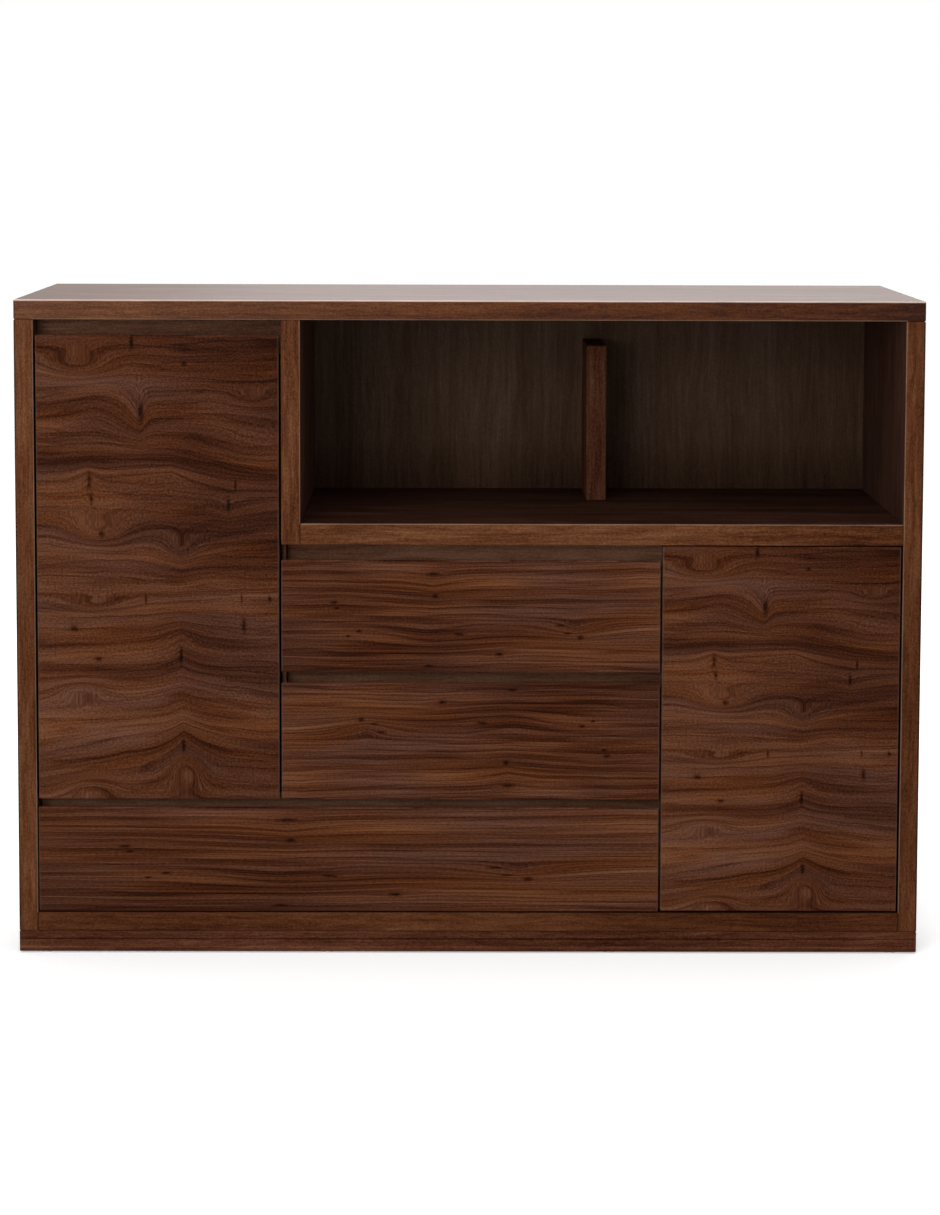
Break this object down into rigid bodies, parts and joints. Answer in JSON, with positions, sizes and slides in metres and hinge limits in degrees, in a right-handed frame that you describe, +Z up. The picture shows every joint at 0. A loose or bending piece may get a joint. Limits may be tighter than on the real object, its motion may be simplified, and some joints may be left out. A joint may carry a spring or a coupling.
{
  "type": "credenza",
  "caption": "Low walnut cabinet with an open bay, inset doors and drawers pulled by their bevelled top edges, on a flush plinth.",
  "frame": {"origin": "on the floor under the middle of the cabinet's outside box", "axes": "+Z up, the fronts face -Y, +X to the right as seen from the front"},
  "size_m": [1.2, 0.4, 0.875],
  "materials": {
    "figured_walnut": "satin lacquer over figured walnut veneer",
    "straight_walnut": "satin lacquer over straight-grained walnut veneer",
    "frame_walnut": "satin lacquer over plain walnut veneer",
    "inner_walnut": "dull lacquer over plain walnut veneer",
    "dark_rail": "dark stained, dull",
    "drawer_birch": "clear lacquer over pale plywood",
    "plated_steel": "bright plated pressed steel",
    "black_plastic": "moulded, matt"
  },
  "bodies": {
    "cabinet": {"top_panel": "frame_walnut", "left_side_panel": "frame_walnut", "right_side_panel": "frame_walnut", "bottom_panel": "frame_walnut", "back_panel": "inner_walnut", "left_partition": "frame_walnut", "right_partition": "frame_walnut", "open_shelf": "frame_walnut", "drawer_deck": "dark_rail", "compartment_divider": "frame_walnut", "door_grip_rail": "dark_rail", "top_drawer_grip_rail": "dark_rail", "middle_drawer_grip_rail": "dark_rail", "plinth_front": "straight_walnut", "plinth_back": "frame_walnut", "plinth_left": "frame_walnut", "plinth_right": "frame_walnut", "plinth_brace": "inner_walnut", "left_shelf": "inner_walnut", "right_shelf": "inner_walnut", "latch_housing": "black_plastic", "top_drawer_left_cabinet_runner": "plated_steel", "top_drawer_right_cabinet_runner": "plated_steel", "middle_drawer_left_cabinet_runner": "plated_steel", "middle_drawer_right_cabinet_runner": "plated_steel", "bottom_drawer_left_cabinet_runner": "plated_steel", "bottom_drawer_right_cabinet_runner": "plated_steel", "left_door_lower_hinge_arm": "plated_steel", "left_door_upper_hinge_arm": "plated_steel", "right_door_lower_hinge_arm": "plated_steel", "right_door_upper_hinge_arm": "plated_steel"},
    "left_door": {"left_door": "figured_walnut", "left_door_lower_hinge_cup": "plated_steel", "left_door_upper_hinge_cup": "plated_steel"},
    "right_door": {"right_door": "figured_walnut", "right_door_lower_hinge_cup": "plated_steel", "right_door_upper_hinge_cup": "plated_steel", "latch_strike": "plated_steel"},
    "top_drawer": {"top_drawer_front": "straight_walnut", "top_drawer_left": "drawer_birch", "top_drawer_right": "drawer_birch", "top_drawer_back": "drawer_birch", "top_drawer_bottom": "drawer_birch"},
    "top_drawer_runners": {"top_drawer_left_middle_runner": "plated_steel", "top_drawer_right_middle_runner": "plated_steel"},
    "middle_drawer": {"middle_drawer_front": "straight_walnut", "middle_drawer_left": "drawer_birch", "middle_drawer_right": "drawer_birch", "middle_drawer_back": "drawer_birch", "middle_drawer_bottom": "drawer_birch"},
    "middle_drawer_runners": {"middle_drawer_left_middle_runner": "plated_steel", "middle_drawer_right_middle_runner": "plated_steel"},
    "bottom_drawer": {"bottom_drawer_front": "straight_walnut", "bottom_drawer_left": "drawer_birch", "bottom_drawer_right": "drawer_birch", "bottom_drawer_back": "drawer_birch", "bottom_drawer_bottom": "drawer_birch"},
    "bottom_drawer_runners": {"bottom_drawer_left_middle_runner": "plated_steel", "bottom_drawer_right_middle_runner": "plated_steel"},
    "latch_plunger": {"latch_plunger": "black_plastic"}
  },
  "joints": [
    {"name": "left_door_swing", "type": "hinge", "parent": "cabinet", "child": "left_door", "pos_m": [-0.556, -0.191, 0.209], "axis": [0, 0, -1], "range_deg": [0, 95]},
    {"name": "right_door_swing", "type": "hinge", "parent": "cabinet", "child": "right_door", "pos_m": [0.556, -0.191, 0.058], "axis": [0, 0, 1], "range_deg": [0, 95]},
    {"name": "top_drawer_slide", "type": "slide", "parent": "cabinet", "child": "top_drawer", "axis": [0, -1, 0], "range_m": [0, 0.32]},
    {"name": "top_drawer_runner_slide", "type": "slide", "parent": "cabinet", "child": "top_drawer_runners", "axis": [0, -1, 0], "range_m": [0, 0.16]},
    {"name": "middle_drawer_slide", "type": "slide", "parent": "cabinet", "child": "middle_drawer", "axis": [0, -1, 0], "range_m": [0, 0.32]},
    {"name": "middle_drawer_runner_slide", "type": "slide", "parent": "cabinet", "child": "middle_drawer_runners", "axis": [0, -1, 0], "range_m": [0, 0.16]},
    {"name": "bottom_drawer_slide", "type": "slide", "parent": "cabinet", "child": "bottom_drawer", "axis": [0, -1, 0], "range_m": [0, 0.32]},
    {"name": "bottom_drawer_runner_slide", "type": "slide", "parent": "cabinet", "child": "bottom_drawer_runners", "axis": [0, -1, 0], "range_m": [0, 0.16]},
    {"name": "latch_plunger_slide", "type": "slide", "parent": "cabinet", "child": "latch_plunger", "axis": [0, -1, 0], "range_m": [0, 0.0111]}
  ],
  "couplings": [
    {"joint": "top_drawer_runner_slide", "follows": "top_drawer_slide", "ratio": 0.5},
    {"joint": "middle_drawer_runner_slide", "follows": "middle_drawer_slide", "ratio": 0.5},
    {"joint": "bottom_drawer_runner_slide", "follows": "bottom_drawer_slide", "ratio": 0.5},
    {"joint": "latch_plunger_slide", "follows": "right_door_swing", "m_per_rad": 0.00663}
  ]
}
